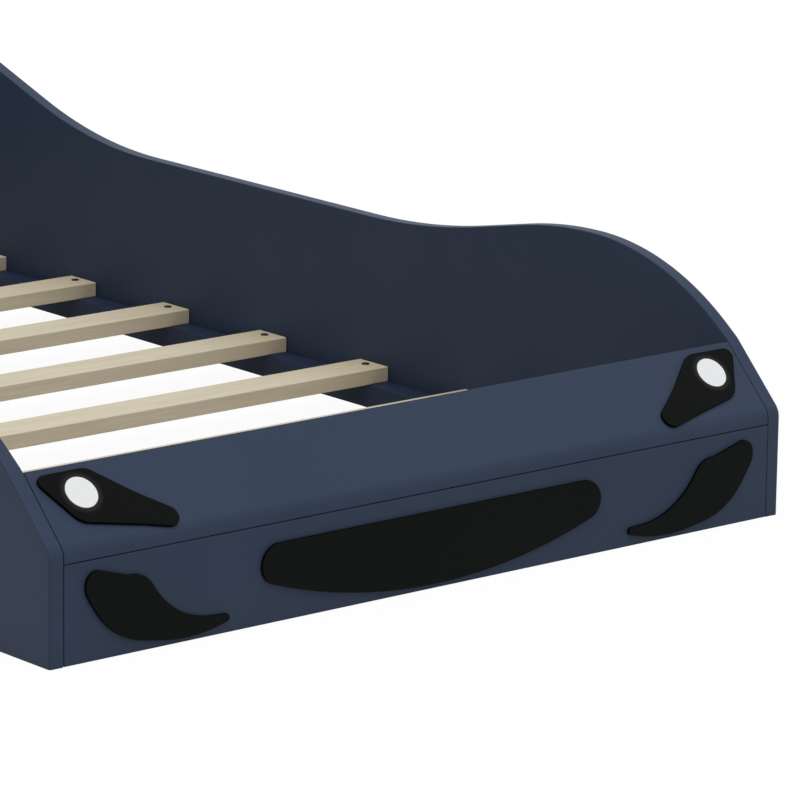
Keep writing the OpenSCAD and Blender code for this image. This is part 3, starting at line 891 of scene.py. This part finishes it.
# %% [markdown]
# Only the heads of the slat screws show: low black domes on the pine, with a cross in the middle.
# A whole screw is modelled all the same, because the mesh of each piece is used by itself as well.
# The screws of the wheels and of the corner blocks are the same ones with a flat head. How far a
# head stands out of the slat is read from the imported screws.

# %% Wood screws
SCREW_SIDES = 24
TIP_LENGTH = 3 * MM
TIP_RADIUS = 0.5 * MM
CROSS_LENGTH = 4.6 * MM
CROSS_WIDTH = 0.9 * MM
CROSS_DEPTH = 1.8 * MM
# A pan head's steps, as shares of its thickness and of its radius
PAN = ((0, 0.6), (0.1, 0.8), (0.3, 0.94), (0.6, 1), (1, 1))


def wood_screw(length, head, smooth_part):
    """A screw with its head's top at the origin, threaded below smooth_part."""
    under_head = head[-1][0]
    screw = turned(head + [
        (under_head, SHANK_RADIUS), (-smooth_part, SHANK_RADIUS), (TIP_LENGTH - length, SHANK_RADIUS),
        (-length, TIP_RADIUS)], SCREW_SIDES)
    cut_thread(screw, SHANK_RADIUS, -smooth_part, TIP_LENGTH - length)
    cut_cross(screw, CROSS_LENGTH, CROSS_WIDTH, CROSS_DEPTH)
    return screw


middle, size = slat_screws[0]
pan_height = middle.z + size.z / 2 - first_high.z
pan_head = [(-down * pan_height, share * size.x / 2) for down, share in PAN]
places = [stand(middle + Vector((0, 0, size.z / 2)), Vector((0, 0, 1))) for middle, size in slat_screws]
slat_screw = wood_screw(size.z, pan_head, smooth_part=size.z / 2)
spread(slat_screw, "slat_screws", places, black_zinc)
print("their heads stand", round(pan_height / MM, 2), "mm on the slats")

for node, faces_out in (("wheel_screws", 1), ("block_screws", -1)):
    screws = solids_of(node)
    length, radius = screws[0][1].x, screws[0][1].z / 2
    flat_head = [(0, radius - BROKEN_EDGE), (-BROKEN_EDGE, radius), (-FLAT_HEAD, radius)]
    flat_screw = wood_screw(length, flat_head, smooth_part=length / 3)
    spread(flat_screw, node, along_x(screws, faces_out), black_zinc)

# %% [markdown]
# Flat-pack boards are pulled together by cam locks. A bolt is screwed into the side panel, and
# its head reaches into a drum in the other board. Half a turn with a screwdriver draws the head
# in. Bolt and drum are turned shapes: the drum has a cross for the screwdriver in the end that
# shows on the inner side of the board, and a bore across it for the bolt, which lies in the middle
# of the board's thickness. Its frame needs two directions, because the bore has to look at the
# side panel.

# %% Cam locks
BORE_RADIUS = 3.4 * MM
BORE_BEYOND = 3.5 * MM
CAM_RIM = 0.5 * MM
cams = solids_of("cam_locks")
cam_depth = min(cams[0][1])
cam_radius = cams[0][1].x / 2
drum = turned([(0, cam_radius - CAM_RIM), (-CAM_RIM, cam_radius), (CAM_RIM - cam_depth, cam_radius),
               (-cam_depth, cam_radius - CAM_RIM)], HOLE_SIDES)
close_piece()
bore = turned([(2 * cam_radius, BORE_RADIUS), (-BORE_BEYOND, BORE_RADIUS)], HOLE_SIDES)
close_piece()
bore.data.transform(stand(Vector((0, 0, -BOARD / 2)), Vector((1, 0, 0))))
cut_away(drum, bore)
cut_cross(drum, length=cam_radius * 1.2, width=cam_radius / 5, depth=cam_depth / 4)

places = []
for middle, size in cams:
    on_slope = size.z > 2 * cam_radius + MM
    out = -ON_HOOD if on_slope else Vector((0, -math.copysign(1, middle.y), 0))
    to_panel = Vector((math.copysign(1, middle.x), 0, 0))
    places.append(stand(middle + out * cam_depth / 2, out, side=out.cross(to_panel)))
spread(drum, "cam_locks", places, cast_zinc)

# %% [markdown]
# The bolt is hidden once the bed is together. From the end in the side panel it has a thread, a
# smooth collar, a thin neck and a wider head that the cam grips. The thread is the same ridge as
# on the screws, cut into a thicker shank.

# %% Cam bolts
BOLT_SIDES = 24
BOLT_BITE = 11 * MM
BOLT_COLLAR = 3 * MM
BOLT_HEAD = 3.5 * MM
BOLT_CHAMFER = 1 * MM
NECK_SHARE = 0.75

bolts = solids_of("cam_bolts")
bolt_length = bolts[0][1].x
bolt_radius = min(bolts[0][1].y, bolts[0][1].z) / 2
neck = bolt_radius * NECK_SHARE
collar_end = -BOLT_BITE - BOLT_COLLAR
head_start = BOLT_HEAD - bolt_length
bolt = turned([
    (0, bolt_radius - BOLT_CHAMFER), (-BOLT_CHAMFER, bolt_radius), (-BOLT_BITE, bolt_radius),
    (collar_end, bolt_radius), (collar_end, neck), (head_start + BOLT_CHAMFER, neck),
    (head_start - BOLT_CHAMFER, bolt_radius), (BOLT_CHAMFER - bolt_length, bolt_radius),
    (-bolt_length, bolt_radius - BOLT_CHAMFER)], BOLT_SIDES)
cut_thread(bolt, bolt_radius, -BOLT_CHAMFER, -BOLT_BITE)
spread(bolt, "cam_bolts", along_x(bolts), cast_zinc)

# %% [markdown]
# A beech dowel is chamfered so that it starts easily, and has straight flutes that let air and
# spare glue escape. It is turned as a plain stick with many sides, and every third line of points
# is then pulled inwards to make the flutes.

# %% Dowels
DOWEL_SIDES = 48
DOWEL_CHAMFER = 0.9 * MM
FLUTE = 3
FLUTE_DEPTH = 0.4 * MM

dowels = solids_of("wood_dowels")
dowel_length = dowels[0][1].x
dowel_radius = dowels[0][1].z / 2
dowel = turned([
    (0, dowel_radius - DOWEL_CHAMFER), (-DOWEL_CHAMFER, dowel_radius),
    (DOWEL_CHAMFER - dowel_length, dowel_radius), (-dowel_length, dowel_radius - DOWEL_CHAMFER)],
    DOWEL_SIDES)
close_piece()
for point in dowel.data.vertices:
    line = round(math.atan2(point.co.y, point.co.x) / (2 * math.pi) * DOWEL_SIDES)
    if line % FLUTE == 0:
        point.co.xy *= 1 - FLUTE_DEPTH / dowel_radius
spread(dowel, "wood_dowels", along_x(dowels), beech)

# %% [markdown]
# The photograph shows the bed on pure white. Lighting the floor until it burns out would spoil
# the paint and the pine, so the white is a colour and not a light: a Light Path node tells rays
# that come from the camera, or by way of a gloss or glass, from rays that only gather light. The
# first see a nearly white floor that still keeps a faint share of the bed's shadow. The others
# see a plain pale one, a little warm, which sends light back up on the boards. Inside the bed the
# photograph has little light from below, so there the gathered tone is a darker one.

# %% White floor
FLOOR_TONE = "#E2DAD5"
INSIDE_TONE = "#C0B8AC"
SHADOW_SHARE = 0.05


def seen_directly(tree):
    """1 for rays from the camera, a gloss or a glass, and 0 for the light that is gathered."""
    path = add(tree, "LightPath", {}).outputs
    either = add(tree, "Math", {0: path["Is Camera Ray"], 1: path["Is Glossy Ray"]}, operation="MAXIMUM")
    return add(tree, "Math", {0: either, 1: path["Is Transmission Ray"]}, operation="MAXIMUM")


def white_floor(name, tone):
    """White to the eye with a faint shadow, and of the given tone to the light."""
    material = bpy.data.materials.new(name)
    material.use_nodes = True
    tree = material.node_tree
    tree.nodes.clear()
    gathered = add(tree, "BsdfDiffuse", {"Color": srgb(tone)})
    painted_glow = add(tree, "BsdfDiffuse", {"Color": srgb("#FFFFFF")})
    glow = add(tree, "Emission", {"Color": srgb("#FFFFFF"), "Strength": 1.0})
    shown = add(tree, "MixShader", {0: SHADOW_SHARE, 1: glow, 2: painted_glow})
    surface = add(tree, "MixShader", {0: seen_directly(tree), 1: gathered, 2: shown})
    add(tree, "OutputMaterial", {"Surface": surface})
    return material


floor_paints = [white_floor("White floor", FLOOR_TONE),
                white_floor("White floor inside the bed", INSIDE_TONE)]
print("made", *[paint.name for paint in floor_paints])

# %% [markdown]
# The floor itself is one large plane under the bed. It is bisected along the bed's four sides, so
# that the face in the middle can have the darker tone.

# %% Lay the floor
FLOOR_SIZE = 60

bpy.ops.object.select_all(action="DESELECT")
bpy.ops.mesh.primitive_plane_add(size=FLOOR_SIZE, location=(0, 0, cad_low.z))
floor = bpy.context.object
floor.name = "floor"
open_piece(floor, "FACE")
for corner in (cad_low, cad_high):
    for across in ((1, 0, 0), (0, 1, 0)):
        bpy.ops.mesh.select_all(action="SELECT")
        bpy.ops.mesh.bisect(plane_co=corner, plane_no=across)
close_piece()
for paint in floor_paints:
    floor.data.materials.append(paint)
for face in floor.data.polygons:
    inside = all(cad_low[i] < face.center[i] < cad_high[i] for i in (0, 1))
    face.material_index = 1 if inside else 0
floor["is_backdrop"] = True
print("the floor has", len(floor.data.polygons), "faces")

# %% [markdown]
# The light is that of a plain studio: an even sky all round, and one large soft lamp high up,
# ahead of the bed and a little to the left. A sun lamp with a wide angle is such a lamp without
# any falloff. The two strengths are set so that a surface that faces up gets just as much light
# as makes its colour come out as it is written. The upright boards get less, and the inner sides
# the least, as in the photograph.

# %% Sky and lamp
SKY = 0.56
KEY = 0.46
KEY_HEIGHT = math.radians(72)
KEY_FROM = math.radians(-19)
KEY_SOFTNESS = math.radians(40)

world = bpy.data.worlds.new("Studio sky")
bpy.context.scene.world = world
world.use_nodes = True
tree = world.node_tree
tree.nodes.clear()
even = add(tree, "Background", {"Color": srgb("#FFFFFF"), "Strength": SKY})
backdrop = add(tree, "Background", {"Color": srgb("#FFFFFF"), "Strength": 1.0})
sky = add(tree, "MixShader", {0: seen_directly(tree), 1: even, 2: backdrop})
add(tree, "OutputWorld", {"Surface": sky})

lamp_data = bpy.data.lights.new("Key", "SUN")
lamp_data.energy = KEY * math.pi    # a sun of strength pi makes a surface as bright as a sky of 1
lamp_data.angle = KEY_SOFTNESS
key_lamp = bpy.data.objects.new("Key", lamp_data)
key_lamp.rotation_euler = (math.pi / 2 - KEY_HEIGHT, 0, KEY_FROM)
bpy.context.scene.collection.objects.link(key_lamp)
print("light on a surface that faces up:", round(SKY + KEY * math.sin(KEY_HEIGHT), 2))

# %% [markdown]
# The camera stands where the photographer's did. Its place and direction were worked out from
# the corners of the boards in the photograph: it looks along the bed from far away through a
# long lens, 40 degrees to the right of the bed's own direction and 14 degrees down. The picture
# leans a little, by a degree, and it cuts off the rear half of the bed, as the photograph does.

# %% Camera
EYE = Vector((-3699.2, -5315.1, 1590.9)) * MM
LOOKS_RIGHT = math.radians(40.256)
LOOKS_DOWN = math.radians(13.667)
LEANS = math.radians(0.82)
LENS = 243.77
SENSOR = 36

camera_data = bpy.data.cameras.new("Camera")
camera_data.lens = LENS
camera_data.sensor_width = SENSOR
camera_data.clip_end = FLOOR_SIZE
camera = bpy.data.objects.new("Camera", camera_data)
camera.matrix_world = (
    Matrix.Translation(EYE)
    @ Matrix.Rotation(-LOOKS_RIGHT, 4, "Z")
    @ Matrix.Rotation(math.pi / 2 - LOOKS_DOWN, 4, "X")
    @ Matrix.Rotation(LEANS, 4, "Z")
)
bpy.context.scene.collection.objects.link(camera)
bpy.context.scene.camera = camera
bpy.context.scene.view_settings.view_transform = "Standard"
print("the camera stands", round((EYE - (hood_low + hood_high) / 2).length, 1), "m from the hood")

# %% [markdown]
# Last, the size of the dressed bed is printed, as that of the imported model was at the start, so that
# the two can be compared.

# %% Print the dressed size
low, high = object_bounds()
print("dressed size in mm:", [round(side / MM, 1) for side in high - low])
